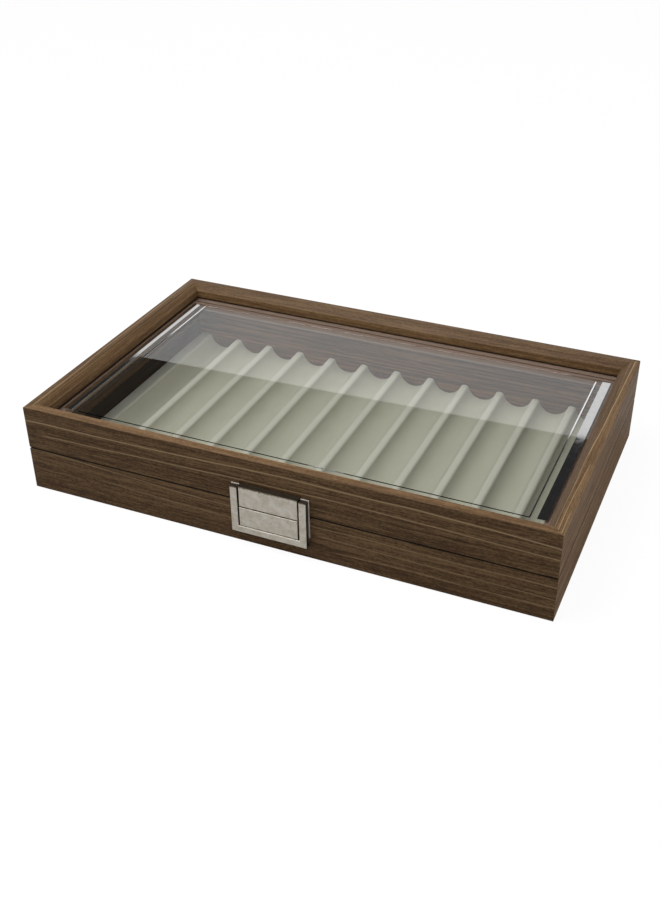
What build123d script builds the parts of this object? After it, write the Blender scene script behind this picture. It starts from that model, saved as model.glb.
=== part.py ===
from build123d import *
import math
import os

# Pen collector chest: a flat wooden box with a hinged lid whose frame holds a recessed pane of glass,
# a scalloped tray with a groove for each pen, two butt hinges at the back and a push-button clasp in
# front. Millimetres, X to the right, Y to the back, Z up; the origin is the middle of the underside.
# The lid turns about the hinge pins. The button of the clasp slides in along +Y.

# ---- driving dimensions -------------------------------------------------------------------------
# carcase: four mitred boards in the base, four in the lid
BOX_W = 345.0
BOX_D = 212.0
BASE_H = 30.0
LID_H = 29.6
SEAM_GAP = 0.4
WALL = 11.0
FILM_R = 0.6
TOP_FLAT = 6.0
BEVEL_DROP = 3.7

# floor: a panel and its felt in a rabbet of the base boards
FELT_T = 0.8
FLOOR_T = 3.2
RABBET_W = 5.0
FLOOR_CLEAR = 0.2

# glazing: wooden beads carry the pane; two bright strips lie on it, one along each side
GLASS_DROP = 9.4
GLASS_T = 3.0
GLASS_GAP = 1.0
GLASS_ARRIS = 0.4
BEAD_H = 6.0
BEAD_SIDE_W = 4.5
BEAD_END_W = 7.5
BEAD_CHAMFER = 1.5
STRIP_W = 5.5
STRIP_T = 0.3
STRIP_SIDE = 3.2
LINE_W = 0.9
LINE_SIDE = 12.9
LINE_BACK = 10.7
LINE_FRONT = 11.0

# tray: a core with grooves that run front to back, in a soft cover
GROOVES = 12
GROOVE_DEPTH = 9.0
RIDGE_W = 5.0
RIDGE_R = 2.0
TRAY_H = 15.5
TRAY_LEFT = 7.1  # from the tray's left side to the middle of its first ridge
TRAY_RIGHT = 2.3
TRAY_CLEAR = 0.5
COVER_T = 0.8

# butt hinges, let in flush at the back
HINGE_INSET = 62.5
HINGE_L = 32.0
KNUCKLES = 3
KNUCKLE_R = 2.0
KNUCKLE_GAP = 0.15
KNUCKLE_ROOM = 0.4
LEAF_T = 1.0
LEAF_H = 10.5
LEAF_FIT = 0.1
PIN_R = 0.9
PIN_CLEAR = 0.05
HINGE_SCREW_X = 9.0
HINGE_SCREW_L = 9.0

# clasp: a U-shaped housing on the base, a strike on the lid and a button between the two arms
CLASP_X = -1.0
CLASP_W = 49.5
CLASP_PROUD = 4.5
CLASP_RISE = 11.7
CLASP_DROP = 20.4
CLASP_BAR = 4.7
CLASP_EDGE = 0.35
ARM_CLEAR = 0.3
LIP_T = 1.5
RIM_W = 0.5
RIM_T = 1.1
RIM_R = 4.0
BACK_T = 1.0
BACK_INSET = 1.0
BUTTON_GAP = 0.8
BUTTON_FOOT_GAP = 0.5
BUTTON_T = 2.5
BUTTON_TRAVEL = 1.6
FLANGE_T = 0.9
FLANGE_W = 1.8
FLANGE_END = 1.5
GUIDE_FIT = 0.1
BOSS_R = 1.5
SPLIT_DROP = 1.7
SPLIT_GAP = 0.3
STRIKE_OVER = 0.7
STRIKE_SET_BACK = 0.3
TONGUE_W = 12.0
TONGUE_T = 1.1
TONGUE_L = 7.7
TONGUE_GAP = 0.1
TONGUE_ROOM = 0.6
EYE_W = 9.0
EYE_H = 4.0
EYE_DROP = 3.85
SPRING_W = 8.0
SPRING_T = 0.4
SPRING_FOOT = 4.0
SPRING_REACH = 2.2
NIB_H = 2.9
NIB_GAP = 0.1
POCKET_DEPTH = 4.5
POCKET_ROOM = 0.6

# machine screws of the clasp, driven from inside, and the wood screws of the hinges
BOLT_R = 1.2
BOLT_BITE = 3.0
BOLT_HEAD_R = 2.6
BOLT_HEAD_H = 1.8
BOLT_SINK = 0.4
BOLT_X = 15.0
STRIKE_BOLT_X = 12.0
SCREW_R = 1.0
SCREW_HEAD_R = 2.1
SCREW_FIT = 0.05
SHANK_SIDES = 8
HEAD_SIDES = 16

# ---- places worked out from them ----------------------------------------------------------------
HALF_W = BOX_W / 2
HALF_D = BOX_D / 2
IN_X = HALF_W - WALL
IN_Y = HALF_D - WALL
FLOOR_TOP = FELT_T + FLOOR_T
LID_Z = BASE_H + SEAM_GAP
TOP_Z = LID_Z + LID_H
SEAM_Z = BASE_H + SEAM_GAP / 2
GLASS_Z = TOP_Z - GLASS_DROP - GLASS_T
BEAD_Z = GLASS_Z - BEAD_H
LINE_X = IN_X - LINE_SIDE
LINE_Y0 = LINE_FRONT - IN_Y
LINE_Y1 = IN_Y - LINE_BACK

TRAY_X = IN_X - TRAY_CLEAR
TRAY_Y = IN_Y - TRAY_CLEAR
RIDGE_Z = FLOOR_TOP + TRAY_H
PITCH = (2 * TRAY_X - TRAY_LEFT - TRAY_RIGHT) / GROOVES
GROOVE_X = [-TRAY_X + TRAY_LEFT + (n + 0.5) * PITCH for n in range(GROOVES)]
GROOVE_HALF = (PITCH - RIDGE_W) / 2
GROOVE_R = (GROOVE_HALF**2 + GROOVE_DEPTH**2) / (2 * GROOVE_DEPTH)

PIVOT_Y = HALF_D + KNUCKLE_R - LEAF_T
HINGE_X = HALF_W - HINGE_INSET
LEAF_START = KNUCKLE_R + KNUCKLE_ROOM
HINGE_SCREW_Z = (LEAF_START + LEAF_H) / 2

FRONT_Y = -HALF_D - CLASP_PROUD
CLASP_Z0 = SEAM_Z - CLASP_DROP
CLASP_Z1 = SEAM_Z + CLASP_RISE
OPEN_X = CLASP_W / 2 - CLASP_BAR
OPEN_Z = CLASP_Z0 + CLASP_BAR
PLATE_X = OPEN_X - BUTTON_GAP
SPLIT_Z = SEAM_Z - SPLIT_DROP
BUTTON_Z0 = OPEN_Z + BUTTON_FOOT_GAP
BUTTON_Z1 = SPLIT_Z - SPLIT_GAP / 2
STRIKE_Z0 = SPLIT_Z + SPLIT_GAP / 2
STRIKE_Z1 = CLASP_Z1 + STRIKE_OVER
STRIKE_Y = FRONT_Y + STRIKE_SET_BACK
FLANGE_X = OPEN_X + FLANGE_W
FLANGE_Y = FRONT_Y + LIP_T + GUIDE_FIT
FLANGE_Z0 = BUTTON_Z0 + FLANGE_END
FLANGE_Z1 = BUTTON_Z1 - FLANGE_END
TONGUE_Y = -HALF_D - TONGUE_GAP - TONGUE_T
EYE_Z = STRIKE_Z0 - EYE_DROP
BACK_X = CLASP_W / 2 - BACK_INSET
BACK_Z = CLASP_Z0 + BACK_INSET
BUTTON_BACK = FRONT_Y + BUTTON_T
BOLT_Z = CLASP_Z0 + CLASP_BAR / 2
STRIKE_BOLT_Z = (LID_Z + BEAD_Z) / 2


def block(x0, x1, y0, y1, z0, z1):
    """A box between two corners."""
    corner = (min(x0, x1), min(y0, y1), min(z0, z1))
    return Pos(*corner) * Box(abs(x1 - x0), abs(y1 - y0), abs(z1 - z0), align=Align.MIN)


def outline(points, rounded, radius):
    """A closed outline with some of its corners rounded."""
    face = make_face(Polyline(*points, close=True))
    corners = [v for v in face.vertices() for p in rounded if abs(v.X - p[0]) + abs(v.Y - p[1]) < 1e-6]
    return fillet(corners, radius)


def rod_y(radius, y0, y1, x, z):
    """A round bar along Y."""
    return Pos(x, (y0 + y1) / 2, z) * Rot(90, 0, 0) * Cylinder(radius, abs(y1 - y0))


def shank_y(radius, y0, y1, x, z, sides=SHANK_SIDES):
    """A bar along Y with few sides, for the screws and their holes inside the wood, where little shows."""
    section = Plane.XZ * Pos(x, z) * RegularPolygon(radius, sides)
    return Pos(0, min(y0, y1), 0) * extrude(section, amount=-abs(y1 - y0))


def rod_x(radius, length, x, y, z):
    """A round bar along X, centred on x."""
    return Pos(x, y, z) * Rot(0, 90, 0) * Cylinder(radius, length)


# ---- carcase ------------------------------------------------------------------------------------
def board(length, section):
    """A board along X with its outer face at Y = 0, its section rounded as the film wraps it, mitred."""
    straight = extrude(Plane.YZ * section, amount=length / 2, both=True)
    half = length / 2
    plan = Polyline((-half, 0), (half, 0), (half - WALL, WALL), (WALL - half, WALL), close=True)
    return straight & extrude(make_face(plan), amount=TOP_Z)


def four_boards(section):
    """Front, back, left and right boards of one frame."""
    wide = board(BOX_W, section)
    deep = board(BOX_D, section)
    return {
        "front": Pos(0, -HALF_D, 0) * wide,
        "back": Pos(0, HALF_D, 0) * Rot(0, 0, 180) * wide,
        "left": Pos(-HALF_W, 0, 0) * Rot(0, 0, -90) * deep,
        "right": Pos(HALF_W, 0, 0) * Rot(0, 0, 90) * deep,
    }


def base_section():
    """Rectangle with a rabbet for the floor at its inner bottom corner."""
    step = WALL - RABBET_W
    points = [(0, 0), (0, BASE_H), (WALL, BASE_H), (WALL, FLOOR_TOP), (step, FLOOR_TOP), (step, 0)]
    return outline(points, points[:3], FILM_R)


def lid_section():
    """A flat top, a bevel that falls inwards, and an upright inner face down past the pane."""
    points = [(0, LID_Z), (0, TOP_Z), (TOP_FLAT, TOP_Z), (WALL, TOP_Z - BEVEL_DROP), (WALL, LID_Z)]
    return outline(points, points, FILM_R)


def floor_sheet(z0, thickness):
    x = IN_X + RABBET_W - FLOOR_CLEAR
    y = IN_Y + RABBET_W - FLOOR_CLEAR
    return block(-x, x, -y, y, z0, z0 + thickness)


# ---- glazing ------------------------------------------------------------------------------------
def bead(width, length):
    """A glazing bead along X with its outer face at Y = 0 and a chamfer under its inner edge."""
    cut = BEAD_CHAMFER
    points = [(0, 0), (0, BEAD_H), (width, BEAD_H), (width, cut), (width - cut, 0)]
    return extrude(Plane.YZ * make_face(Polyline(*points, close=True)), amount=length / 2, both=True)


def beads():
    long_bead = bead(BEAD_END_W, 2 * IN_X)
    short_bead = bead(BEAD_SIDE_W, 2 * (IN_Y - BEAD_END_W))
    return {
        "front": Pos(0, -IN_Y, BEAD_Z) * long_bead,
        "back": Pos(0, IN_Y, BEAD_Z) * Rot(0, 0, 180) * long_bead,
        "left": Pos(-IN_X, 0, BEAD_Z) * Rot(0, 0, -90) * short_bead,
        "right": Pos(IN_X, 0, BEAD_Z) * Rot(0, 0, 90) * short_bead,
    }


def v_cut(length, centre, turn):
    """A V-shaped cut along X in the top of the pane, turned and moved to its place."""
    half = LINE_W / 2
    section = make_face(Polyline((-half, 0), (half, 0), (0, -half), close=True))
    return Pos(*centre) * Rot(0, 0, turn) * extrude(Plane.YZ * section, amount=length / 2, both=True)


def glass_pane():
    """A pane with ground edges and a V line cut into its top as a loop inside the frame."""
    x = IN_X - GLASS_GAP
    y = IN_Y - GLASS_GAP
    top = GLASS_Z + GLASS_T
    pane = block(-x, x, -y, y, GLASS_Z, top)
    pane = chamfer(pane.edges().filter_by(Plane.XY), GLASS_ARRIS)
    middle = (LINE_Y0 + LINE_Y1) / 2
    for y_line in (LINE_Y0, LINE_Y1):
        pane -= v_cut(2 * LINE_X + LINE_W, (0, y_line, top), 0)
    for x_line in (-LINE_X, LINE_X):
        pane -= v_cut(LINE_Y1 - LINE_Y0 + LINE_W, (x_line, middle, top), 90)
    return pane


def bright_strip(side):
    """A thin bright strip on the pane, between the frame and the V line of one side."""
    outer = IN_X - STRIP_SIDE
    top = GLASS_Z + GLASS_T
    return block(side * (outer - STRIP_W), side * outer, LINE_Y0, LINE_Y1, top, top + STRIP_T)


# ---- tray ---------------------------------------------------------------------------------------
def tray_section(inset):
    """The tray seen from the front, drawn in by an inset: a slab less a round groove for each pen."""
    x = TRAY_X - inset
    top = RIDGE_Z - inset
    face = make_face(Polyline((-x, FLOOR_TOP), (x, FLOOR_TOP), (x, top), (-x, top), close=True))
    radius = GROOVE_R + inset
    axis_z = RIDGE_Z - GROOVE_DEPTH + GROOVE_R
    for middle in GROOVE_X:
        face -= Pos(middle, axis_z) * Circle(radius)
    return face


def tray_cover_section():
    """The cover's outside: the tray's outline with the shoulders of its ridges rounded."""
    face = tray_section(0)
    shoulders = [v for v in face.vertices() if abs(v.Y - RIDGE_Z) < 1e-6]
    return fillet(shoulders, min(RIDGE_R, RIDGE_W * 0.45))


def tray_solid(section):
    return extrude(Plane.XZ * section, amount=TRAY_Y, both=True)


# ---- hinges -------------------------------------------------------------------------------------
def wood_screw(x, z):
    """A countersunk screw driven towards -Y with its head flush with the back of the box."""
    head = Pos(x, HALF_D - LEAF_T / 2, z) * Rot(90, 0, 0) * Cone(SCREW_HEAD_R, SCREW_R, LEAF_T)
    return head + shank_y(SCREW_R, HALF_D - LEAF_T, HALF_D - HINGE_SCREW_L, x, z)


def countersink(x, z):
    """The hole in a leaf, a little wider than the screw's head all the way."""
    sink = Cone(SCREW_HEAD_R + SCREW_FIT, SCREW_R + SCREW_FIT, LEAF_T)
    return Pos(x, HALF_D - LEAF_T / 2, z) * Rot(90, 0, 0) * sink


def hinge_screw_places(hinge_x, up):
    return [(hinge_x + dx, SEAM_Z + up * HINGE_SCREW_Z) for dx in (-HINGE_SCREW_X, HINGE_SCREW_X)]


def hinge_leaf(hinge_x, up):
    """A leaf: plate, knuckles in every other slot, pin hole and countersinks. up is 1 for the lid's."""
    pitch = HINGE_L / KNUCKLES
    half = HINGE_L / 2
    inner = HALF_D - LEAF_T
    leaf = block(hinge_x - half, hinge_x + half, inner, HALF_D, SEAM_Z + up * LEAF_START, SEAM_Z + up * LEAF_H)
    for n in range(1 if up > 0 else 0, KNUCKLES, 2):
        x = hinge_x - half + (n + 0.5) * pitch
        w = (pitch - KNUCKLE_GAP) / 2
        leaf += block(x - w, x + w, inner, HALF_D, SEAM_Z, SEAM_Z + up * (LEAF_START + LEAF_T / 2))
        leaf += rod_x(KNUCKLE_R, 2 * w, x, PIVOT_Y, SEAM_Z)
    leaf -= rod_x(PIN_R + PIN_CLEAR, 2 * HINGE_L, hinge_x, PIVOT_Y, SEAM_Z)
    for x, z in hinge_screw_places(hinge_x, up):
        leaf -= countersink(x, z)
    return leaf


def hinge_pin(hinge_x):
    return rod_x(PIN_R, HINGE_L, hinge_x, PIVOT_Y, SEAM_Z)


def hinge_seat(hinge_x, up):
    """What a hinge takes out of a back board: the leaf's mortise, room for the knuckles, pilot holes."""
    half = HINGE_L / 2 + LEAF_FIT
    far = SEAM_Z + up * (LEAF_H + LEAF_FIT)
    seat = block(hinge_x - half, hinge_x + half, HALF_D - LEAF_T, HALF_D + LEAF_T, SEAM_Z, far)
    seat += rod_x(LEAF_START, 2 * half, hinge_x, PIVOT_Y, SEAM_Z)
    for x, z in hinge_screw_places(hinge_x, up):
        seat += shank_y(SCREW_R + SCREW_FIT, HALF_D, HALF_D - HINGE_SCREW_L - SCREW_FIT, x, z)
    return seat


# ---- clasp --------------------------------------------------------------------------------------
def cast_plate(points, y0, y1, edge):
    """An outline in the XZ plane made a plate from y0 back to y1, with the edges of its front broken."""
    face = Plane.XZ * make_face(Polyline(*points, close=True))
    plate = Pos(0, y1, 0) * extrude(face, amount=y1 - y0)
    front = [e for e in plate.edges() if abs(e.center().Y - y0) < 1e-6]
    return chamfer(front, edge)


def clasp_housing():
    """A U that opens upwards, a rim round its back, guides behind its lips and a plate let into the base."""
    x = CLASP_W / 2
    points = [(-x, CLASP_Z0), (x, CLASP_Z0), (x, CLASP_Z1), (OPEN_X, CLASP_Z1)]
    points += [(OPEN_X, OPEN_Z), (-OPEN_X, OPEN_Z), (-OPEN_X, CLASP_Z1), (-x, CLASP_Z1)]
    housing = cast_plate(points, FRONT_Y, -HALF_D, CLASP_EDGE)
    rim_x = x + RIM_W
    corners = [(-rim_x, CLASP_Z0), (rim_x, CLASP_Z0)]
    rim = outline(corners + [(rim_x, CLASP_Z1 + RIM_W), (-rim_x, CLASP_Z1 + RIM_W)], corners, RIM_R)
    rim = Pos(0, -HALF_D, 0) * extrude(Plane.XZ * rim, amount=RIM_T)
    housing += rim - block(-OPEN_X, OPEN_X, -HALF_D - RIM_T, -HALF_D, OPEN_Z, 2 * TOP_Z)
    guide = FLANGE_X + GUIDE_FIT
    housing -= block(-guide, guide, FRONT_Y + LIP_T, -HALF_D, FLANGE_Z0 - GUIDE_FIT, FLANGE_Z1 + GUIDE_FIT)
    housing -= block(-rim_x, rim_x, -HALF_D - ARM_CLEAR, -HALF_D, BASE_H, 2 * TOP_Z)
    housing += block(-BACK_X, BACK_X, -HALF_D, -HALF_D + BACK_T, BACK_Z, BASE_H)
    window = (SPRING_W + POCKET_ROOM) / 2
    housing -= block(-window, window, -HALF_D, -HALF_D + BACK_T, EYE_Z - EYE_H / 2, EYE_Z + EYE_H / 2)
    for side in (-1, 1):
        housing -= shank_y(BOLT_R + SCREW_FIT, -HALF_D + BACK_T, -HALF_D - BOLT_BITE, side * BOLT_X, BOLT_Z)
    return Pos(CLASP_X, 0, 0) * housing


def clasp_button():
    """The push plate: flanges that slide behind the lips, a hollow for the tongue and a boss in it."""
    points = [(-PLATE_X, BUTTON_Z0), (PLATE_X, BUTTON_Z0), (PLATE_X, BUTTON_Z1), (-PLATE_X, BUTTON_Z1)]
    button = cast_plate(points, FRONT_Y, BUTTON_BACK, CLASP_EDGE)
    button += block(-FLANGE_X, FLANGE_X, FLANGE_Y, FLANGE_Y + FLANGE_T, FLANGE_Z0, FLANGE_Z1)
    hollow_x = TONGUE_W / 2 + TONGUE_ROOM
    hollow_z = STRIKE_Z0 - TONGUE_L - TONGUE_ROOM
    button -= block(-hollow_x, hollow_x, FRONT_Y + LIP_T, -HALF_D, hollow_z, STRIKE_Z0)
    button += rod_y(BOSS_R, FRONT_Y + LIP_T, BUTTON_BACK, 0, EYE_Z)
    return Pos(CLASP_X, 0, 0) * button


def clasp_strike():
    """The plate on the lid, with a tongue that hangs behind the button and an eye for the catch."""
    points = [(-PLATE_X, STRIKE_Z0), (PLATE_X, STRIKE_Z0), (PLATE_X, STRIKE_Z1), (-PLATE_X, STRIKE_Z1)]
    strike = cast_plate(points, STRIKE_Y, -HALF_D, CLASP_EDGE)
    half = TONGUE_W / 2
    end = STRIKE_Z0 - TONGUE_L
    corners = [(-half, end), (half, end)]
    tongue = outline(corners + [(half, LID_Z), (-half, LID_Z)], corners, TONGUE_W / 6)
    strike += Pos(0, TONGUE_Y + TONGUE_T, 0) * extrude(Plane.XZ * tongue, amount=TONGUE_T)
    strike -= block(-EYE_W / 2, EYE_W / 2, TONGUE_Y, -HALF_D, EYE_Z - EYE_H / 2, EYE_Z + EYE_H / 2)
    for side in (-1, 1):
        x = side * STRIKE_BOLT_X
        strike -= shank_y(BOLT_R + SCREW_FIT, -HALF_D, -HALF_D - BOLT_BITE, x, STRIKE_BOLT_Z)
    return Pos(CLASP_X, 0, 0) * strike


def catch_spring():
    """A bent strip of spring steel: foot on the back plate, leaf behind it, nib through the tongue's eye."""
    foot_y = -HALF_D + BACK_T + SPRING_T / 2
    leaf_y = foot_y + SPRING_REACH
    nib_y = BUTTON_BACK + NIB_GAP + SPRING_T / 2
    nib_top = EYE_Z + (NIB_H - SPRING_T) / 2
    nib_low = EYE_Z - (NIB_H - SPRING_T) / 2
    foot_top = EYE_Z - EYE_H / 2 - 2 * SPRING_T
    path = Polyline(
        (foot_y, foot_top - SPRING_FOOT),
        (foot_y, foot_top - SPRING_REACH / 2),
        (leaf_y, foot_top + SPRING_REACH / 2),
        (leaf_y, nib_top),
        (nib_y, nib_top),
        (nib_y, nib_low),
        (foot_y + SPRING_T, nib_low),
    )
    strip = extrude(Plane.YZ * trace(path, line_width=SPRING_T), amount=SPRING_W / 2, both=True)
    return Pos(CLASP_X, 0, 0) * strip


def bolt(x, z):
    """A machine screw along Y: its head sunk in the inner face of a front board, its end in the clasp."""
    head_y = -IN_Y - BOLT_SINK
    neck_y = head_y - BOLT_HEAD_H
    shank = shank_y(BOLT_R, neck_y, -HALF_D - BOLT_BITE + BOLT_SINK, x, z)
    return shank_y(BOLT_HEAD_R, head_y, neck_y, x, z, HEAD_SIDES) + shank


def bolt_hole(x, z):
    neck_y = -IN_Y - BOLT_SINK - BOLT_HEAD_H
    hole = shank_y(BOLT_R + SCREW_FIT, -IN_Y, -HALF_D, x, z)
    return hole + shank_y(BOLT_HEAD_R + BOLT_SINK, -IN_Y, neck_y, x, z, HEAD_SIDES)


def bolt_places():
    """Where the clasp's screws go: two through the base, two through the lid."""
    low = [(CLASP_X + side * BOLT_X, BOLT_Z) for side in (-1, 1)]
    high = [(CLASP_X + side * STRIKE_BOLT_X, STRIKE_BOLT_Z) for side in (-1, 1)]
    return low, high


def clasp_seat():
    """What the clasp takes out of the base's front board: the back plate's recess and the catch's pocket."""
    x = BACK_X + GUIDE_FIT
    seat = block(-x, x, -HALF_D, -HALF_D + BACK_T, BACK_Z - GUIDE_FIT, 2 * BASE_H)
    pocket_x = SPRING_W / 2 + POCKET_ROOM
    low = EYE_Z - EYE_H / 2 - 2 * SPRING_T - SPRING_FOOT - POCKET_ROOM
    pocket_end = -HALF_D + BACK_T + POCKET_DEPTH
    seat += block(-pocket_x, pocket_x, -HALF_D, pocket_end, low, EYE_Z + EYE_H / 2 + POCKET_ROOM)
    return Pos(CLASP_X, 0, 0) * seat


# ---- the whole chest ----------------------------------------------------------------------------
def chest():
    """Every separate piece of the chest by its name."""
    base = four_boards(base_section())
    lid = four_boards(lid_section())
    low_bolts, high_bolts = bolt_places()
    base["front"] -= clasp_seat()
    for place in low_bolts:
        base["front"] -= bolt_hole(*place)
    for place in high_bolts:
        lid["front"] -= bolt_hole(*place)
    for x in (-HINGE_X, HINGE_X):
        base["back"] -= hinge_seat(x, -1)
        lid["back"] -= hinge_seat(x, 1)

    nodes = {f"base_{side}_wall": wall for side, wall in base.items()}
    nodes |= {f"lid_{side}_rail": rail for side, rail in lid.items()}
    nodes["base_felt"] = floor_sheet(0, FELT_T)
    nodes["base_floor_panel"] = floor_sheet(FELT_T, FLOOR_T)

    nodes |= {f"glazing_bead_{side}": strip for side, strip in beads().items()}
    nodes["glass_pane"] = glass_pane()
    nodes["bright_strip_left"] = bright_strip(-1)
    nodes["bright_strip_right"] = bright_strip(1)

    core = tray_section(COVER_T)
    nodes["tray_core"] = tray_solid(core)
    nodes["tray_cover"] = tray_solid(tray_cover_section() - core)

    for side, x in (("left", -HINGE_X), ("right", HINGE_X)):
        nodes[f"hinge_base_leaf_{side}"] = hinge_leaf(x, -1)
        nodes[f"hinge_lid_leaf_{side}"] = hinge_leaf(x, 1)
        nodes[f"hinge_pin_{side}"] = hinge_pin(x)
    for name, up in (("hinge_base_screws", -1), ("hinge_lid_screws", 1)):
        places = hinge_screw_places(-HINGE_X, up) + hinge_screw_places(HINGE_X, up)
        nodes[name] = Compound(children=[wood_screw(x, z) for x, z in places])

    nodes["clasp_housing"] = clasp_housing()
    nodes["clasp_button"] = clasp_button()
    nodes["clasp_strike"] = clasp_strike()
    nodes["catch_spring"] = catch_spring()
    nodes["clasp_housing_screws"] = Compound(children=[bolt(x, z) for x, z in low_bolts])
    nodes["clasp_strike_screws"] = Compound(children=[bolt(x, z) for x, z in high_bolts])
    return nodes


os.makedirs("parts", exist_ok=True)
for name, shape in chest().items():
    export_step(shape, f"parts/{name}.step")
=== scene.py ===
import math

import bpy
from mathutils import Matrix, Vector


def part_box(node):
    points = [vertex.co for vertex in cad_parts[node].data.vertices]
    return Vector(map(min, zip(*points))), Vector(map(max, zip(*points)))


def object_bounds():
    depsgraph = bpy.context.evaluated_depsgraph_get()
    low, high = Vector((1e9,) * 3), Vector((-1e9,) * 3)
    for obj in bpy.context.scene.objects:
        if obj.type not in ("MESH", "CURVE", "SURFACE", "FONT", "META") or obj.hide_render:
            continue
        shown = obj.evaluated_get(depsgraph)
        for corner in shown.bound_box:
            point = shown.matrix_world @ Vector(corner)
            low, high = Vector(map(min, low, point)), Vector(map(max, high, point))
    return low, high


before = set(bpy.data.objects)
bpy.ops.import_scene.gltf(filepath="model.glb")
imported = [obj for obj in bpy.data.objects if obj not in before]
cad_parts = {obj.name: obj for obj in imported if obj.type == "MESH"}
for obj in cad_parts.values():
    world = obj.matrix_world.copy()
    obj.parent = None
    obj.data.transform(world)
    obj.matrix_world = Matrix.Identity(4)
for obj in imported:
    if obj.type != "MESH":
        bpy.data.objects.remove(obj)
cad_low, cad_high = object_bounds()

# Metres throughout. The chest stands on Z = 0, its front faces -Y and its right side +X.
# Inset is the way inward from a board's outer face.
MM = 0.001
HALF_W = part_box("base_right_wall")[1].x
HALF_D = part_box("base_back_wall")[1].y
LID_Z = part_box("lid_front_rail")[0].z
TOP_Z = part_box("lid_front_rail")[1].z
BASE_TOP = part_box("base_front_wall")[1].z
SEAM_Z = (BASE_TOP + LID_Z) / 2
PANE_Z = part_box("glass_pane")[1].z
TRAY_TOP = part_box("tray_cover")[1].z
CLASP_LOW, CLASP_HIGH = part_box("clasp_housing")
CLASP_X = (CLASP_LOW.x + CLASP_HIGH.x) / 2
CLASP_BAR = 4.7 * MM  # width of the U's arms and of its foot
RIM_W, RIM_T = 0.5 * MM, 1.1 * MM  # how far the rim stands out past the U, and its thickness
OPEN_X = CLASP_HIGH.x - CLASP_X - RIM_W - CLASP_BAR  # half the width between the arms
OPEN_Z = CLASP_LOW.z + CLASP_BAR  # where the space between the arms begins
STRIKE_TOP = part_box("clasp_strike")[1].z
OUTER = 0.3 * MM  # less inset than this is a board's outer face
ROUNDED = 1.5 * MM  # less inset than this is the outer face with its rounded edges
FLAT = 5.9 * MM  # more inset than this is the lid's bevel, or further in
INNER = 10.9 * MM  # more inset than this is a board's inner face


# ---- node helpers -------------------------------------------------------------------------------
def node(tree, kind, sockets=(), **settings):
    """A new node. Each socket is set to a value, or linked if it is given another node's socket."""
    made = tree.nodes.new(kind)
    for name, value in settings.items():
        setattr(made, name, value)
    for key, value in dict(sockets).items():
        if isinstance(value, bpy.types.NodeSocket):
            tree.links.new(value, made.inputs[key])
        else:
            made.inputs[key].default_value = value
    return made


def calc(tree, operation, *values):
    """The result of one sum on numbers or sockets."""
    return node(tree, "ShaderNodeMath", enumerate(values), operation=operation).outputs[0]


def apart(tree, a, b):
    """How far two values lie apart."""
    return calc(tree, "ABSOLUTE", calc(tree, "SUBTRACT", a, b))


def dot(tree, a, b):
    return node(tree, "ShaderNodeVectorMath", enumerate((a, b)), operation="DOT_PRODUCT").outputs["Value"]


def join(tree, x, y, z):
    return node(tree, "ShaderNodeCombineXYZ", enumerate((x, y, z))).outputs[0]


def noise(tree, vector, scale=1.0, detail=2.0, roughness=0.5):
    sockets = {"Vector": vector, "Scale": scale, "Detail": detail, "Roughness": roughness}
    return node(tree, "ShaderNodeTexNoise", sockets).outputs["Fac"]


def spread(tree, value, low, high, to_low=0.0, to_high=1.0):
    """A value taken from one range to another and held inside it, with soft ends."""
    sockets = {"Value": value, "From Min": low, "From Max": high, "To Min": to_low, "To Max": to_high}
    return node(tree, "ShaderNodeMapRange", sockets, interpolation_type="SMOOTHSTEP").outputs["Result"]


def near(tree, value, middle, full, gone, share=1.0):
    """The share up to full from the middle, to both sides, and from there less and less, to 0 at gone."""
    return spread(tree, apart(tree, value, middle), full, gone, share, 0.0)


def mix(tree, factor, a, b):
    """Colour a where the factor is 0, and b where it is 1."""
    return node(tree, "ShaderNodeMix", {"Factor": factor, 6: a, 7: b}, data_type="RGBA").outputs[2]


def brighten(tree, tone, mask, share):
    """A tone raised by a share of itself where the mask is 1."""
    return calc(tree, "MULTIPLY", tone, calc(tree, "ADD", 1.0, calc(tree, "MULTIPLY", mask, share)))


def ramp(tree, value, stops):
    """A colour ramp through (position, colour) stops."""
    made = node(tree, "ShaderNodeValToRGB", {"Fac": value})
    elements = made.color_ramp.elements
    while len(elements) < len(stops):
        elements.new(1.0)
    for element, (position, colour) in zip(elements, stops):
        element.position = position
        element.color = colour
    return made.outputs["Color"]


def group(name, inputs, outputs):
    """An empty node group with named sockets: each input is (name, kind, value), each output (name, kind)."""
    tree = bpy.data.node_groups.new(name, "ShaderNodeTree")
    for socket, kind, value in inputs:
        made = tree.interface.new_socket(socket, in_out="INPUT", socket_type="NodeSocket" + kind)
        made.default_value = value
    for socket, kind in outputs:
        tree.interface.new_socket(socket, in_out="OUTPUT", socket_type="NodeSocket" + kind)
    return tree, tree.nodes.new("NodeGroupInput").outputs, tree.nodes.new("NodeGroupOutput")


def place_group(tree, effect, sockets):
    """What a shared effect puts out in a material, with that material's own values."""
    return node(tree, "ShaderNodeGroup", sockets, node_tree=effect).outputs


def colour(red, green, blue):
    """A colour given by its screen values, 0 to 255."""
    linear = [((v / 255 + 0.055) / 1.055) ** 2.4 if v > 10 else v / 255 / 12.92 for v in (red, green, blue)]
    return (*linear, 1.0)


def material(name, **settings):
    """A material with one Principled shader, and its Object coordinates."""
    made = bpy.data.materials.new(name)
    made.use_nodes = True
    tree = made.node_tree
    shader = tree.nodes["Principled BSDF"]
    for key, value in settings.items():
        shader.inputs[key.replace("_", " ")].default_value = value
    place = tree.nodes.new("ShaderNodeTexCoord").outputs["Object"]
    return made, tree, shader.inputs, place


def bump(tree, height, strength, distance, target):
    sockets = {"Height": height, "Strength": strength, "Distance": distance}
    tree.links.new(node(tree, "ShaderNodeBump", sockets).outputs["Normal"], target)


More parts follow.
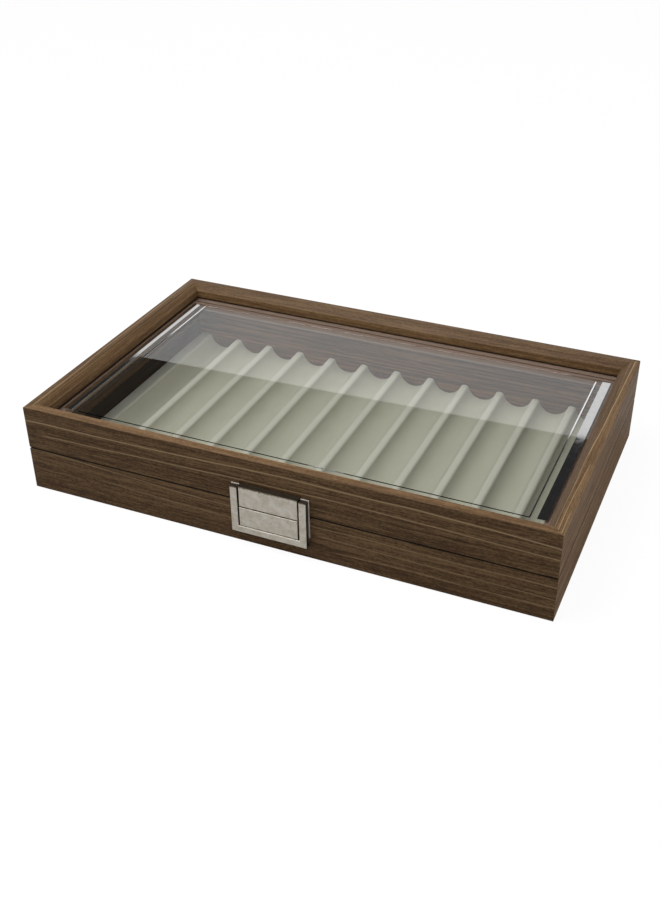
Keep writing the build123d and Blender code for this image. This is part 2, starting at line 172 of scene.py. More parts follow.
# ---- shared effects -----------------------------------------------------------------------------
# Scales of the film's noises per metre, along the board and across it.
FILM_WAVE = (9.0, 45.0)
BANDS = (2.5, 110.0)
STREAKS = (14.0, 700.0)
FIBRES = (85.0, 1250.0)
SPECKS = (520.0, 1500.0)
PORES = (110.0, 2100.0)
VEIN_LINES = (2.2, 95.0)
VEIN_BREAKS = (14.0, 300.0)
FILM_SWAY = 3.0 * MM  # how far the wave carries the grain up and down, from end to end


def film_group():
    """Printed walnut film: broad bands, streaks, fibres and specks drawn out along the board, dark pores
    and thin light veins.

    Run is the way along the board. Climb goes up the outer face, over the top and down inside without a
    break.
    """
    tree, given, out = group(
        "walnut_film",
        [("Place", "Vector", (0, 0, 0)), ("Along", "Vector", (1, 0, 0)), ("Inward", "Vector", (0, 1, 0)),
         ("Half", "Float", 0.1), ("Top", "Float", 0.06), ("Seed", "Float", 0.0)],
        [("Colour", "Color"), ("Roughness", "Float"), ("Height", "Float"), ("Climb", "Float"),
         ("Run", "Float"), ("Inset", "Float"), ("Up", "Float")],
    )
    run = dot(tree, given["Place"], given["Along"])
    inset = calc(tree, "ADD", dot(tree, given["Place"], given["Inward"]), given["Half"])
    up = dot(tree, given["Place"], (0, 0, 1))
    sunk = calc(tree, "MAXIMUM", calc(tree, "SUBTRACT", given["Top"], up), 0.0)
    past_flat = calc(tree, "GREATER_THAN", inset, FLAT)
    fold = calc(tree, "MULTIPLY", past_flat, calc(tree, "MULTIPLY", sunk, 2.0))
    level = calc(tree, "ADD", calc(tree, "ADD", up, inset), fold)

    def drawn_out(rise, scales, detail=2.0, roughness=0.5):
        """Noise that is drawn out along the board."""
        along, across = scales
        long, high = calc(tree, "MULTIPLY", run, along), calc(tree, "MULTIPLY", rise, across)
        return noise(tree, join(tree, long, high, given["Seed"]), 1.0, detail, roughness)

    wave = calc(tree, "SUBTRACT", drawn_out(level, FILM_WAVE), 0.5)
    climb = calc(tree, "ADD", level, calc(tree, "MULTIPLY", wave, FILM_SWAY))
    bands = drawn_out(climb, BANDS, 1.0)
    streaks = drawn_out(climb, STREAKS, 2.0, 0.6)
    fibres = drawn_out(climb, FIBRES, 2.0, 0.75)
    tone = calc(tree, "ADD", calc(tree, "MULTIPLY", bands, 0.20), calc(tree, "MULTIPLY", streaks, 0.44))
    tone = calc(tree, "ADD", tone, calc(tree, "MULTIPLY", fibres, 0.42))
    specks = calc(tree, "SUBTRACT", drawn_out(climb, SPECKS, 1.0), 0.5)
    tone = calc(tree, "ADD", tone, calc(tree, "MULTIPLY", specks, 0.36))
    stops = [(0.36, colour(80, 57, 37)), (0.5, colour(109, 82, 55)), (0.64, colour(147, 116, 81))]
    base = ramp(tree, tone, stops)
    vein = near(tree, drawn_out(climb, VEIN_LINES, 0.0), 0.5, full=0.0, gone=0.009)
    broken = spread(tree, drawn_out(climb, VEIN_BREAKS, 1.0), 0.40, 0.60)
    vein = calc(tree, "MULTIPLY", calc(tree, "MULTIPLY", vein, broken), 0.28)
    base = mix(tree, vein, base, colour(168, 138, 102))
    pores = spread(tree, drawn_out(climb, PORES, 1.0), 0.30, 0.42, 1.0, 0.0)
    base = mix(tree, calc(tree, "MULTIPLY", pores, 0.35), base, colour(40, 29, 19))
    rough = spread(tree, streaks, 0.3, 0.7, 0.46, 0.34)
    height = calc(tree, "SUBTRACT", calc(tree, "MULTIPLY", fibres, 0.5), calc(tree, "MULTIPLY", pores, 0.6))
    results = {"Colour": base, "Roughness": rough, "Height": height, "Climb": climb, "Run": run,
               "Inset": inset, "Up": up}
    for key, socket in results.items():
        tree.links.new(socket, out.inputs[key])
    return tree


def nap_group():
    """Short pile or a cast grain: cloudy mottling at one scale and fine grains at another."""
    tree, given, out = group(
        "mottle_and_grain",
        [("Place", "Vector", (0, 0, 0)), ("Cloud Scale", "Float", 100.0), ("Grain Scale", "Float", 3000.0)],
        [("Cloud", "Float"), ("Grain", "Float")],
    )
    tree.links.new(noise(tree, given["Place"], given["Cloud Scale"], 3.0, 0.6), out.inputs["Cloud"])
    tree.links.new(noise(tree, given["Place"], given["Grain Scale"], 2.0, 0.6), out.inputs["Grain"])
    return tree


FILM = film_group()
NAP = nap_group()


# ---- materials ----------------------------------------------------------------------------------
SIDES = {
    "front": {"Along": (1, 0, 0), "Inward": (0, 1, 0), "Half": HALF_D, "Seed": 1.7},
    "back": {"Along": (1, 0, 0), "Inward": (0, -1, 0), "Half": HALF_D, "Seed": 5.3},
    "left": {"Along": (0, 1, 0), "Inward": (1, 0, 0), "Half": HALF_W, "Seed": 9.1},
    "right": {"Along": (0, 1, 0), "Inward": (-1, 0, 0), "Half": HALF_W, "Seed": 13.9},
}


VEIN_END = 4.0  # in mm, half the length over which a vein fades out at its ends


def vein_mask(tree, film, points, width):
    """1 on a thin line of the film through (run, level) points in mm, 0 elsewhere and past its ends."""
    reach, deep = 180.0, 80.0  # the curve goes from -reach to reach, and up to deep
    along = calc(tree, "ADD", calc(tree, "MULTIPLY", film["Run"], 0.5 / MM / reach), 0.5)
    bend = node(tree, "ShaderNodeFloatCurve", {"Value": along})
    curve = bend.mapping.curves[0]
    for n, (run, level) in enumerate(points):
        place = (run / reach / 2 + 0.5, level / deep)
        if n < 2:
            curve.points[n].location = place
        else:
            curve.points.new(*place)
    bend.mapping.update()
    line = calc(tree, "MULTIPLY", bend.outputs[0], deep * MM)
    mask = near(tree, film["Climb"], line, full=width * 0.2 * MM, gone=width * MM)
    for end, (low, high) in ((points[0][0], (0.0, 1.0)), (points[-1][0], (1.0, 0.0))):
        fade = spread(tree, film["Run"], (end - VEIN_END) * MM, (end + VEIN_END) * MM, low, high)
        mask = calc(tree, "MULTIPLY", mask, fade)
    return mask


# Painted light and shade, board by board: shares of the film's own brightness on a board's top and inside,
# and on its outer face, and how dark the painted shade along the pane's edge is.
PAINTED_LIGHT_TOP_INSIDE = {"front": 0.90, "back": 0.71, "left": 0.70, "right": 0.79}
PAINTED_LIGHT_OUTSIDE = {"front": 0.54, "back": 0.5, "left": 0.5, "right": 1.02}
PANE_EDGE_SHADE = {"front": 0.8, "back": 0.8, "left": 0.93, "right": 0.8}
UNDER_PANE = PANE_Z - 3.0 * MM  # lower than this is below the pane
SIDE_WALL_SHADE = (16.0 * MM, 30.0 * MM)  # painted shade on the base's inner side walls, darker from one of these heights to the other


def painted_board_light(tree, side, part, film, outside, inner):
    """The share of the film's own brightness over one board: painted light and shade per board and face."""
    tone = calc(tree, "ADD", PAINTED_LIGHT_TOP_INSIDE[side], calc(tree, "MULTIPLY", outside, PAINTED_LIGHT_OUTSIDE[side] - PAINTED_LIGHT_TOP_INSIDE[side]))
    if part == "lid":
        # Painted light on the lid's inner walls above the pane, and painted shade below it on the side rails.
        light_above_pane = 0.28
        shade_below_pane = -0.45 if side in ("left", "right") else 0.0
        wall = spread(tree, film["Up"], PANE_Z - 1.0 * MM, PANE_Z, shade_below_pane, light_above_pane)
        tone = brighten(tree, tone, inner, wall)
    if side == "right":
        # Painted shade on the right rail's bevel.
        bevel = spread(tree, film["Inset"], FLAT - 0.1 * MM, FLAT + 0.5 * MM, 1.0, 0.78)
        tone = calc(tree, "MULTIPLY", tone, bevel)
    return tone


def back_wall(tree, film, inner, shade, tone):
    """Redder and more streaked below the pane, on the inside of the back boards."""
    low_inside = calc(tree, "MULTIPLY", inner, calc(tree, "LESS_THAN", film["Up"], UNDER_PANE))
    red = node(tree, "ShaderNodeVectorMath", {0: shade, 1: (1.04, 0.92, 0.90)}, operation="MULTIPLY")
    streaky = spread(tree, film["Roughness"], 0.37, 0.43, 0.3, -0.3)
    return mix(tree, low_inside, shade, red.outputs[0]), brighten(tree, tone, low_inside, streaky)


def painted_inside_shade(tree, side, part, film, inner, shade):
    """Painted shade round the pane's edge in the lid, and on the side walls in the base."""
    if part == "lid":
        # Painted shade in the gap where the pane meets the lid's inner wall.
        foot = near(tree, film["Up"], PANE_Z, full=0.4 * MM, gone=1.0 * MM, share=PANE_EDGE_SHADE[side])
        shade = mix(tree, calc(tree, "MULTIPLY", foot, inner), shade, colour(12, 8, 5))
    elif side in ("left", "right"):
        # Painted shade on the base's inner side walls.
        dark = spread(tree, film["Up"], *SIDE_WALL_SHADE, 0.75, 0.93)
        shade = mix(tree, calc(tree, "MULTIPLY", dark, inner), shade, colour(24, 13, 7))
    return shade


def painted_outside_shade(tree, side, part, film, outside, shade):
    """Painted shade along the seam, and a painted shadow in front above the strike."""
    # Painted shade in the seam between lid and base, on the rounded outer edges.
    rounded = calc(tree, "LESS_THAN", film["Inset"], ROUNDED)
    seam = near(tree, film["Up"], SEAM_Z, full=0.35 * MM, gone=0.8 * MM, share=0.9)
    shade = mix(tree, calc(tree, "MULTIPLY", seam, rounded), shade, colour(14, 8, 5))
    if (side, part) == ("front", "lid"):
        # A painted shadow of the strike on the lid's front, above it.
        rise = calc(tree, "SUBTRACT", film["Up"], STRIKE_TOP)
        above = spread(tree, rise, 1.2 * MM, 2.6 * MM, 0.55, 0.0)
        beside = near(tree, film["Run"], CLASP_X, full=OPEN_X, gone=OPEN_X + 0.8 * MM)
        shadow = calc(tree, "MULTIPLY", above, beside)
        shade = mix(tree, calc(tree, "MULTIPLY", shadow, outside), shade, colour(40, 28, 19))
    return shade


def walnut(side, part, veins=()):
    """The film of one board, with its own long veins and light lines, and painted light and shade over it."""
    made, tree, shader, place = material(f"walnut_{part}_{side}", Specular_IOR_Level=0.13)
    facts = dict(SIDES[side], Place=place)
    facts["Seed"] += {"base": 0.0, "lid": 20.0}[part]
    facts["Top"] = {"base": BASE_TOP, "lid": TOP_Z}[part]
    film = place_group(tree, FILM, facts)
    outside = calc(tree, "LESS_THAN", film["Inset"], OUTER)
    inner = calc(tree, "GREATER_THAN", film["Inset"], INNER)
    calm = calc(tree, "MULTIPLY", calc(tree, "SUBTRACT", 1.0, outside), 0.30)
    shade = mix(tree, calm, film["Colour"], colour(112, 86, 59))
    for points, width, strength in veins:
        mask = vein_mask(tree, film, points, width)
        shade = mix(tree, calc(tree, "MULTIPLY", mask, strength), shade, colour(206, 176, 134))
    # Painted light and shade: the film's brightness set per board and per face.
    tone = painted_board_light(tree, side, part, film, outside, inner)
    if side == "back":
        shade, tone = back_wall(tree, film, inner, shade, tone)
    shade = painted_inside_shade(tree, side, part, film, inner, shade)
    shade = painted_outside_shade(tree, side, part, film, outside, shade)
    shade = node(tree, "ShaderNodeVectorMath", {0: shade, "Scale": tone}, operation="SCALE").outputs[0]
    tree.links.new(shade, shader["Base Color"])
    tree.links.new(film["Roughness"], shader["Roughness"])
    bump(tree, film["Height"], 0.25, 0.1 * MM, shader["Normal"])
    return made


BEAD_JOINT = 15.2 * MM  # how far in the dark joint along the back bead lies


def bead_wood(side):
    """The bead under the pane, in a greyer, pinker film, with a dark joint along the back one."""
    made, tree, shader, place = material(f"bead_{side}", Specular_IOR_Level=0.13)
    film = place_group(tree, FILM, dict(SIDES[side], Place=place))
    shade = mix(tree, 0.7, film["Colour"], colour(152, 132, 124))
    if side == "back":
        joint = near(tree, film["Inset"], BEAD_JOINT, full=0.4 * MM, gone=0.8 * MM, share=0.85)
        shade = mix(tree, joint, shade, colour(44, 31, 24))
    tree.links.new(shade, shader["Base Color"])
    tree.links.new(film["Roughness"], shader["Roughness"])
    bump(tree, film["Height"], 0.2, 0.1 * MM, shader["Normal"])
    return made


def tray_cloth():
    """Grey-green velvety cover: short pile, hardly cloudy, with a painted highlight along the ridge tops."""
    made, tree, shader, place = material("tray_velvet", Sheen_Weight=0.25, Sheen_Roughness=0.5)
    nap = place_group(tree, NAP, {"Place": place, "Cloud Scale": 60.0, "Grain Scale": 1500.0})
    tone = calc(tree, "ADD", calc(tree, "MULTIPLY", nap["Cloud"], 0.2),
                calc(tree, "MULTIPLY", nap["Grain"], 0.8))
    shade = ramp(tree, tone, [(0.3, colour(172, 170, 153)), (0.7, colour(188, 186, 170))])
    up = dot(tree, place, (0, 0, 1))
    # Painted highlight on the ridge tops.
    ridge_highlight = spread(tree, up, TRAY_TOP - 1.6 * MM, TRAY_TOP - 0.3 * MM, 0.0, 0.55)
    shade = mix(tree, ridge_highlight, shade, colour(206, 204, 192))
    tree.links.new(shade, shader["Base Color"])
    tree.links.new(spread(tree, nap["Grain"], 0.3, 0.7, 0.8, 0.95), shader["Roughness"])
    bump(tree, nap["Grain"], 0.35, 0.15 * MM, shader["Normal"])
    return made


def felt():
    """The thin dark felt under the floor: short fibres."""
    made, tree, shader, place = material("felt", Sheen_Weight=0.4)
    nap = place_group(tree, NAP, {"Place": place, "Cloud Scale": 120.0, "Grain Scale": 1800.0})
    shade = ramp(tree, nap["Grain"], [(0.3, colour(34, 28, 24)), (0.7, colour(58, 49, 42))])
    tree.links.new(shade, shader["Base Color"])
    tree.links.new(spread(tree, nap["Cloud"], 0.3, 0.7, 0.9, 1.0), shader["Roughness"])
    bump(tree, nap["Grain"], 0.6, 0.3 * MM, shader["Normal"])
    return made


def board_stuff():
    """Fibreboard of the floor and the core of the tray: pressed fibres."""
    made, tree, shader, place = material("fibreboard")
    nap = place_group(tree, NAP, {"Place": place, "Cloud Scale": 200.0, "Grain Scale": 1500.0})
    shade = ramp(tree, nap["Grain"], [(0.3, colour(118, 92, 66)), (0.7, colour(150, 122, 92))])
    tree.links.new(shade, shader["Base Color"])
    tree.links.new(spread(tree, nap["Cloud"], 0.3, 0.7, 0.7, 0.85), shader["Roughness"])
    bump(tree, nap["Grain"], 0.4, 0.2 * MM, shader["Normal"])
    return made


def metal(name, dark, light, rough_low, rough_high, relief=0.06):
    """A satin metal: cloudy in tone and in gloss, with a faint cast grain."""
    made, tree, shader, place = material(name, Metallic=1.0)
    nap = place_group(tree, NAP, {"Place": place, "Cloud Scale": 220.0, "Grain Scale": 2500.0})
    tree.links.new(ramp(tree, nap["Cloud"], [(0.35, dark), (0.65, light)]), shader["Base Color"])
    tree.links.new(spread(tree, nap["Cloud"], 0.3, 0.7, rough_low, rough_high), shader["Roughness"])
    bump(tree, nap["Grain"], relief, 0.05 * MM, shader["Normal"])
    return made


CROSS_HALF = 1.15 * MM  # half the length of a screw's cross recess
CROSS_THIN = 0.24 * MM  # half the width of its arms


def screw_steel(name, halves, rise, middle, level):
    """Plated steel with a cross recess on each head, drawn as a bump and as painted shade.

    The heads lie to both sides of the middle in X, once more to both sides for each further half, and
    by the rise above and below the level.
    """
    made, tree, shader, place = material(name, Metallic=1.0)
    nap = place_group(tree, NAP, {"Place": place, "Cloud Scale": 260.0, "Grain Scale": 2600.0})
    x, z = dot(tree, place, (1, 0, 0)), dot(tree, place, (0, 0, 1))
    across = apart(tree, x, middle)
    for half in halves:
        across = apart(tree, across, half)
    up = apart(tree, apart(tree, z, level), rise)
    long, thin = calc(tree, "MAXIMUM", across, up), calc(tree, "MINIMUM", across, up)
    recess = calc(tree, "MULTIPLY", spread(tree, long, CROSS_HALF, CROSS_HALF + 0.15 * MM, 1.0, 0.0),
                  spread(tree, thin, CROSS_THIN, CROSS_THIN + 0.12 * MM, 1.0, 0.0))
    shade = ramp(tree, nap["Cloud"], [(0.35, colour(176, 172, 163)), (0.65, colour(204, 200, 191))])
    # Painted shade in the cross recesses.
    shade = mix(tree, calc(tree, "MULTIPLY", recess, 0.9), shade, colour(24, 22, 20))
    tree.links.new(shade, shader["Base Color"])
    tree.links.new(spread(tree, nap["Cloud"], 0.3, 0.7, 0.24, 0.34), shader["Roughness"])
    bump(tree, calc(tree, "SUBTRACT", 1.0, recess), 0.5, 0.3 * MM, shader["Normal"])
    return made


# Each piece's upper end, from which painted shade darkens it, and how far down its ragged edge reaches at
# most.
CLASP_TOPS = {
    "clasp_housing": (CLASP_HIGH.z - RIM_W, 0.0),
    "clasp_strike": (STRIKE_TOP, 1.0 * MM),
    "clasp_button": (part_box("clasp_button")[1].z + 0.2 * MM, 0.0),
}
STAINS = 420.0  # scale per metre of the stains and of the ragged edge of the painted shade
SHADED_END = 0.38 * MM  # how far down the painted shade on an upper end reaches
GAP_X, GAP_HALF = OPEN_X - 0.4 * MM, 0.55 * MM  # the side gaps' place from the middle, and half width
FLANK_X = CLASP_HIGH.x - RIM_W - 0.05 * MM  # the U's right flank lies past this
RIM_FACE = -HALF_D - RIM_T - 0.02 * MM  # the rim and the back plate lie behind this
RIM_FOOT = OPEN_Z + 1.1 * MM  # the painted highlight on the rim begins above this


def painted_shade_places(tree, place, x, z, top, ragged):
    """Where painted shade goes: 1 on a piece's upper end, in the clasp's side gaps and on its right flank, 0
    elsewhere.
    """
    patches = calc(tree, "SUBTRACT", noise(tree, place, STAINS, 2.0), 0.5)
    uneven_reach = calc(tree, "MINIMUM", calc(tree, "MULTIPLY", patches, 5.0 * MM), ragged)
    rise = calc(tree, "ADD", calc(tree, "SUBTRACT", z, top), calc(tree, "MAXIMUM", uneven_reach, 0.0))
    end = calc(tree, "GREATER_THAN", rise, -SHADED_END)
    beside = calc(tree, "LESS_THAN", apart(tree, apart(tree, x, CLASP_X), GAP_X), GAP_HALF)
    gap = calc(tree, "MULTIPLY", beside, calc(tree, "GREATER_THAN", z, OPEN_Z))
    return calc(tree, "MAXIMUM", calc(tree, "MAXIMUM", end, gap), calc(tree, "GREATER_THAN", x, FLANK_X))


def painted_rim_highlight(tree, x, z, behind):
    """Where the painted highlight goes: 1 on the rim where it stands out above and to the right of the U, 0
    elsewhere.
    """
    high = calc(tree, "GREATER_THAN", z, CLASP_HIGH.z - 0.2 * MM)
    right = calc(tree, "GREATER_THAN", x, CLASP_HIGH.x - RIM_W + 0.1 * MM)
    upper = calc(tree, "MULTIPLY", behind, calc(tree, "GREATER_THAN", z, RIM_FOOT))
    return calc(tree, "MULTIPLY", upper, calc(tree, "MAXIMUM", high, right))


def clasp_metal(piece):
    """Stained satin nickel: cloudy on its faces; painted shade darkens its upper ends, the side gaps, its
    right flank and what lies behind its front face, and a painted highlight lights the rim behind."""
    made, tree, shader, place = material(f"{piece}_nickel", Metallic=1.0)
    nap = place_group(tree, NAP, {"Place": place, "Cloud Scale": 190.0, "Grain Scale": 2200.0})
    stops = [(0.34, colour(222, 213, 197)), (0.5, colour(238, 230, 215)), (0.66, colour(250, 246, 235))]
    shade = ramp(tree, nap["Cloud"], stops)
    stain = spread(tree, noise(tree, place, STAINS, 3.0, 0.7), 0.60, 0.72)
    shade = mix(tree, calc(tree, "MULTIPLY", stain, 0.3), shade, colour(150, 138, 120))
    x, y, z = (dot(tree, place, way) for way in ((1, 0, 0), (0, 1, 0), (0, 0, 1)))
    before_rim = calc(tree, "LESS_THAN", y, RIM_FACE)
    painted_shade = calc(tree, "MULTIPLY", painted_shade_places(tree, place, x, z, *CLASP_TOPS[piece]), before_rim)
    # Painted shade on the upper ends, in the side gaps and on the right flank.
    shade = mix(tree, calc(tree, "MULTIPLY", painted_shade, 0.9), shade, colour(82, 72, 59))
    behind = calc(tree, "SUBTRACT", 1.0, before_rim)
    # Painted shade on what lies behind the front face: the rim and the back plate.
    shade = mix(tree, calc(tree, "MULTIPLY", behind, 0.8), shade, colour(70, 62, 52))
    if piece == "clasp_housing":
        # Painted highlight on the rim: a pale colour, less metallic.
        rim = painted_rim_highlight(tree, x, z, behind)
        shade = mix(tree, rim, shade, colour(208, 203, 195))
        tree.links.new(calc(tree, "SUBTRACT", 1.0, calc(tree, "MULTIPLY", rim, 0.8)), shader["Metallic"])
    tree.links.new(shade, shader["Base Color"])
    tree.links.new(spread(tree, nap["Cloud"], 0.3, 0.7, 0.46, 0.36), shader["Roughness"])
    bump(tree, nap["Grain"], 0.08, 0.05 * MM, shader["Normal"])
    return made


LINE_X = 148.6 * MM  # the pane's side lines
LINE_Y = (-84.0 * MM, 84.3 * MM)  # their front and back ends
BACK_LINE = LINE_Y[1] - 0.75 * MM  # the line along the back
LINE_DEEP = 1.2 * MM  # the lines are cut less deep than this


def line_mask(tree, place):
    """1 on the fine lines cut along the sides and the back of the pane's upper face, 0 elsewhere."""
    x, y, z = (dot(tree, place, way) for way in ((1, 0, 0), (0, 1, 0), (0, 0, 1)))
    across = calc(tree, "ABSOLUTE", x)
    behind, before = calc(tree, "GREATER_THAN", y, LINE_Y[0]), calc(tree, "LESS_THAN", y, LINE_Y[1])
    side = calc(tree, "MULTIPLY", near(tree, across, LINE_X, full=0.35 * MM, gone=0.55 * MM),
                calc(tree, "MULTIPLY", behind, before))
    back = calc(tree, "MULTIPLY", near(tree, y, BACK_LINE, full=0.2 * MM, gone=0.45 * MM, share=0.6),
                calc(tree, "LESS_THAN", across, LINE_X))
    top = calc(tree, "GREATER_THAN", z, PANE_Z - LINE_DEEP)
    return calc(tree, "MULTIPLY", calc(tree, "MAXIMUM", side, back), top)


def glass():
    """Clear float glass with fine bright lines. Lamp light and bounced light pass straight through it."""
    made, tree, shader, place = material("float_glass", Transmission_Weight=1.0, Roughness=0.0, IOR=1.5)
    nap = place_group(tree, NAP, {"Place": place, "Cloud Scale": 30.0, "Grain Scale": 500.0})
    stops = [(0.3, (0.965, 0.975, 0.968, 1.0)), (0.7, (0.975, 0.982, 0.976, 1.0))]
    tint = ramp(tree, nap["Cloud"], stops)
    tree.links.new(tint, shader["Base Color"])
    flat = node(tree, "ShaderNodeVectorTransform", {0: (0, 0, 1)}, vector_type="NORMAL",
                convert_from="OBJECT", convert_to="WORLD").outputs[0]
    polish = {"Metallic": 1.0, "Roughness": 0.04, "Normal": flat, "Base Color": (0.93, 0.93, 0.93, 1)}
    bright = node(tree, "ShaderNodeBsdfPrincipled", polish)
    lined = node(tree, "ShaderNodeMixShader", {0: line_mask(tree, place), 2: bright.outputs[0]})
    tree.links.new(tree.nodes["Principled BSDF"].outputs[0], lined.inputs[1])
    path = tree.nodes.new("ShaderNodeLightPath").outputs
    passing = calc(tree, "MAXIMUM", path["Is Shadow Ray"], path["Is Diffuse Ray"])
    clear = node(tree, "ShaderNodeBsdfTransparent", {"Color": (0.95, 0.96, 0.95, 1.0)})
    both = node(tree, "ShaderNodeMixShader", {0: passing, 1: lined.outputs[0], 2: clear.outputs[0]})
    tree.links.new(both.outputs[0], tree.nodes["Material Output"].inputs["Surface"])
    return made


# The long veins of each board, and straight light lines along the lid's bevel: (run, level) points in mm,
# half width in mm, and strength.
VEINS = {
    ("front", "lid"): [
        ([(-190, 49.6), (-144, 50.6), (-84, 51.2), (-49, 52.3), (9, 54.0), (49, 53.8), (86, 53.7),
          (115, 52.8), (144, 51.8), (190, 49.6)], 0.75, 0.75),
        ([(-160, 41.6), (-117, 42.5), (-84, 43.7), (-57, 44.1), (-29, 45.0), (10, 45.3), (49, 46.0),
          (86, 45.6), (115, 44.8), (144, 43.7), (190, 42.6)], 0.65, 0.6),
        # A straight light line along the upper edge of the bevel.
        ([(-190, 66.4), (0, 66.3), (190, 66.4)], 0.5, 0.6),
    ],
    ("front", "base"): [
        ([(-172, 29.4), (-144, 28.8), (-115, 27.3), (-86, 25.6), (-57, 24.4), (-31, 24.0),
          (27, 23.8), (60, 24.6), (115, 24.0), (190, 23.8)], 0.6, 0.45),
        ([(30, 17.4), (86, 16.9), (130, 16.2), (190, 15.0)], 0.6, 0.4),
        ([(40, 8.4), (90, 9.4), (140, 8.8), (190, 9.6)], 0.7, 0.35),
        ([(-120, 18.2), (-60, 15.9), (-25, 15.0)], 0.7, 0.3),
    ],
    ("right", "lid"): [
        ([(-110, 66.9), (-78, 66.5), (-50, 66.2), (-30, 66.9), (-15, 66.0), (7, 64.8), (35, 64.1),
          (70, 63.3), (110, 62.3)], 0.5, 0.6),
        ([(-110, 63.6), (-71, 63.6), (-53, 63.1), (-33, 62.7)], 0.45, 0.5),
        ([(-110, 61.4), (-84, 61.4)], 0.5, 0.4),
    ],
    ("left", "lid"): [
        ([(-99, 64.5), (-70, 64.4), (-45, 63.9), (-30, 63.0), (20, 62.7), (50, 62.4),
          (110, 62.0)], 0.55, 0.45),
        # A straight light line along the bevel, near its upper edge.
        ([(-110, 67.6), (0, 67.5), (110, 67.6)], 0.35, 0.35),
    ],
}


# Where the screws' heads lie, as screw_steel takes it.
HINGE_ROW = {"halves": (110.0 * MM, 9.0 * MM), "rise": 6.45 * MM, "middle": 0.0, "level": SEAM_Z}
SCREWS = {
    "hinge_base_screws": HINGE_ROW,
    "hinge_lid_screws": HINGE_ROW,
    "clasp_housing_screws": {"halves": (15.0 * MM,), "rise": 12.15 * MM, "middle": CLASP_X, "level": 0.0},
    "clasp_strike_screws": {"halves": (12.0 * MM,), "rise": 36.0 * MM, "middle": CLASP_X, "level": 0.0},
}


def dress():
    """Gives every node of the model its finish."""
    finishes = {
        "tray_cover": tray_cloth(),
        "base_felt": felt(),
        "glass_pane": glass(),
        "tray_core": board_stuff(),
    }
    finishes["base_floor_panel"] = finishes["tray_core"]
    for side in SIDES:
        finishes[f"base_{side}_wall"] = walnut(side, "base", VEINS.get((side, "base"), ()))
        finishes[f"lid_{side}_rail"] = walnut(side, "lid", VEINS.get((side, "lid"), ()))
        finishes[f"glazing_bead_{side}"] = bead_wood(side)
    nickel = metal("satin_nickel", colour(206, 200, 188), colour(230, 224, 211), 0.34, 0.46)
    steel = metal("spring_steel", colour(110, 110, 112), colour(140, 140, 142), 0.2, 0.3)
    mirror = metal("mirror_strip", colour(206, 206, 206), colour(214, 214, 213), 0.02, 0.05, relief=0.0)
    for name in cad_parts:
        if name.startswith("bright_strip"):
            finishes[name] = mirror
        elif name == "catch_spring":
            finishes[name] = steel
        elif name.endswith("screws"):
            finishes[name] = screw_steel(name + "_steel", **SCREWS[name])
        elif name.startswith("clasp"):
            finishes[name] = clasp_metal(name)
        elif name.startswith("hinge"):
            finishes[name] = nickel
    for name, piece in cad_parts.items():
        piece.data.materials.clear()
        piece.data.materials.append(finishes[name])


dress()


# ---- studio -------------------------------------------------------------------------------------
ROOM_SLOPE = 0.614  # height over distance of the white walls' upper edge
ROOM_TURN = math.radians(2.56)  # the room against the chest
ROOM_DARK, ROOM_WHITE = 0.03, 0.87
AMBIENT = 0.55
FLOOR_HALF = 4.0
FLOOR_GLOW, FLOOR_SHARE = 1.17, 0.8  # the floor's own light to the camera, and its share


def studio_world():
    """White to the camera. Glossy and clear things see a room of white walls up to a level, dark above."""
    world = bpy.data.worlds.new("studio")
    bpy.context.scene.world = world
    world.use_nodes = True
    tree = world.node_tree
    way = tree.nodes.new("ShaderNodeTexCoord").outputs["Generated"]
    cos, sin = math.cos(ROOM_TURN), math.sin(ROOM_TURN)
    across = calc(tree, "ABSOLUTE", dot(tree, way, (cos, sin, 0)))
    ahead = calc(tree, "ABSOLUTE", dot(tree, way, (-sin, cos, 0)))
    limit = calc(tree, "MULTIPLY", calc(tree, "MAXIMUM", across, ahead), ROOM_SLOPE)
    wall = calc(tree, "LESS_THAN", dot(tree, way, (0, 0, 1)), limit)
    seen = calc(tree, "ADD", calc(tree, "MULTIPLY", wall, ROOM_WHITE - ROOM_DARK), ROOM_DARK)
    path = tree.nodes.new("ShaderNodeLightPath").outputs
    level = node(tree, "ShaderNodeMix", {"Factor": path["Is Diffuse Ray"], 2: seen, 3: AMBIENT}).outputs[0]
    level = node(tree, "ShaderNodeMix", {"Factor": path["Is Camera Ray"], 2: level, 3: 1.0}).outputs[0]
    background = tree.nodes["Background"]
    background.inputs["Color"].default_value = (1, 1, 1, 1)
    tree.links.new(level, background.inputs["Strength"])


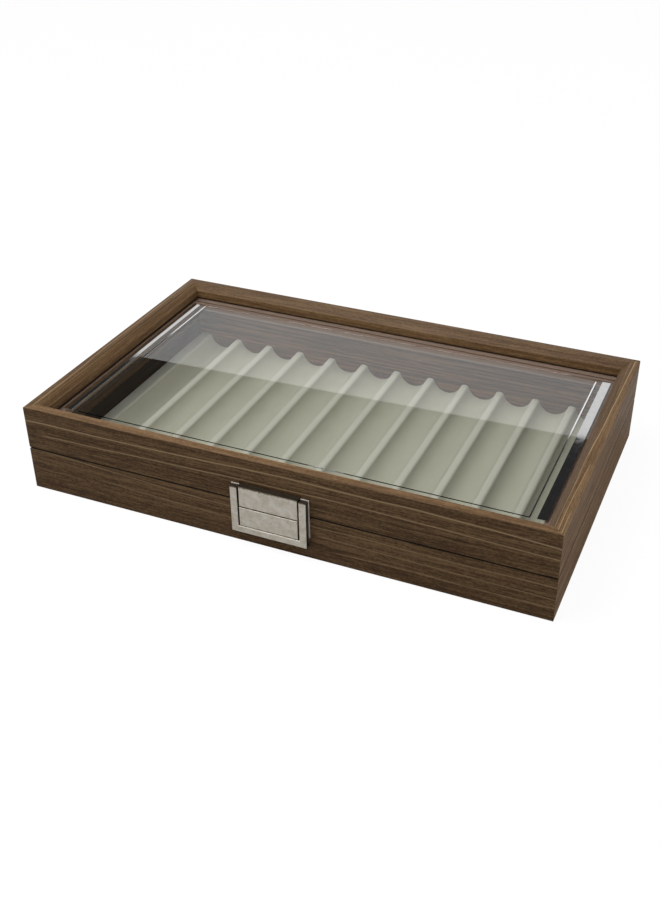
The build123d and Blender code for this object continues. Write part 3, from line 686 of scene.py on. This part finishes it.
def floor():
    """A pale floor that looks white and keeps a soft shadow."""
    z = cad_low.z - 0.2 * MM
    corners = [(x * FLOOR_HALF, y * FLOOR_HALF, z) for x, y in ((-1, -1), (1, -1), (1, 1), (-1, 1))]
    mesh = bpy.data.meshes.new("floor")
    mesh.from_pydata(corners, [], [(0, 1, 2, 3)])
    made = bpy.data.objects.new("floor", mesh)
    bpy.context.scene.collection.objects.link(made)
    stuff, tree, shader, place = material("floor_white", Roughness=0.9)
    cloud = noise(tree, place, 3.0)
    shade = ramp(tree, cloud, [(0.3, (0.37, 0.37, 0.37, 1)), (0.7, (0.39, 0.39, 0.39, 1))])
    tree.links.new(shade, shader["Base Color"])
    path = tree.nodes.new("ShaderNodeLightPath").outputs
    glow = node(tree, "ShaderNodeEmission", {"Color": (1, 1, 1, 1), "Strength": FLOOR_GLOW})
    share = calc(tree, "MULTIPLY", path["Is Camera Ray"], FLOOR_SHARE)
    both = node(tree, "ShaderNodeMixShader", {0: share, 2: glow.outputs[0]})
    tree.links.new(tree.nodes["Principled BSDF"].outputs[0], both.inputs[1])
    tree.links.new(both.outputs[0], tree.nodes["Material Output"].inputs["Surface"])
    mesh.materials.append(stuff)


def softbox(name, place, size, watts):
    """A square area lamp that looks at the chest."""
    lamp = bpy.data.lights.new(name, "AREA")
    lamp.shape = "SQUARE"
    lamp.size = size
    lamp.energy = watts
    made = bpy.data.objects.new(name, lamp)
    bpy.context.scene.collection.objects.link(made)
    made.location = place
    made.rotation_euler = (-Vector(place)).to_track_quat("-Z", "Y").to_euler()


EYE_DISTANCE = 761.171  # in mm
FOCAL = 1137.79  # in pixels of the photograph
FRAME_SHIFT = -30.0  # in pixels, from the lens's axis to the middle of the photograph
PHOTO_HIGH = 900.0  # the photograph's longer side in pixels
SENSOR = 36.0  # in mm


def camera():
    """The photograph's view, found by matching the chest's corners."""
    azimuth, elevation, roll = math.radians(22.4107), math.radians(32.6673), math.radians(0.1976)
    target = Vector((12.1404, 0, 11.2696)) * MM
    back = Vector((
        math.sin(azimuth) * math.cos(elevation),
        -math.cos(azimuth) * math.cos(elevation),
        math.sin(elevation),
    ))
    level = Vector((math.cos(azimuth), math.sin(azimuth), 0))
    up = back.cross(level)
    right = math.cos(roll) * level + math.sin(roll) * up
    above = math.cos(roll) * up - math.sin(roll) * level
    eye = target + back * EYE_DISTANCE * MM
    data = bpy.data.cameras.new("photo_camera")
    data.sensor_width = SENSOR
    data.lens = FOCAL * SENSOR / PHOTO_HIGH
    data.shift_x = FRAME_SHIFT / PHOTO_HIGH
    data.clip_start = 0.01
    made = bpy.data.objects.new("photo_camera", data)
    bpy.context.scene.collection.objects.link(made)
    turn = Matrix((right, above, back)).transposed().to_4x4()
    made.matrix_world = Matrix.Translation(eye) @ turn
    bpy.context.scene.camera = made


studio_world()
floor()
softbox("key", (-0.42, -0.34, 1.25), 0.8, 10.5)
softbox("right_fill", (1.3, -0.2, 0.45), 0.8, 2.2)
camera()
bpy.context.scene.view_settings.view_transform = "Standard"
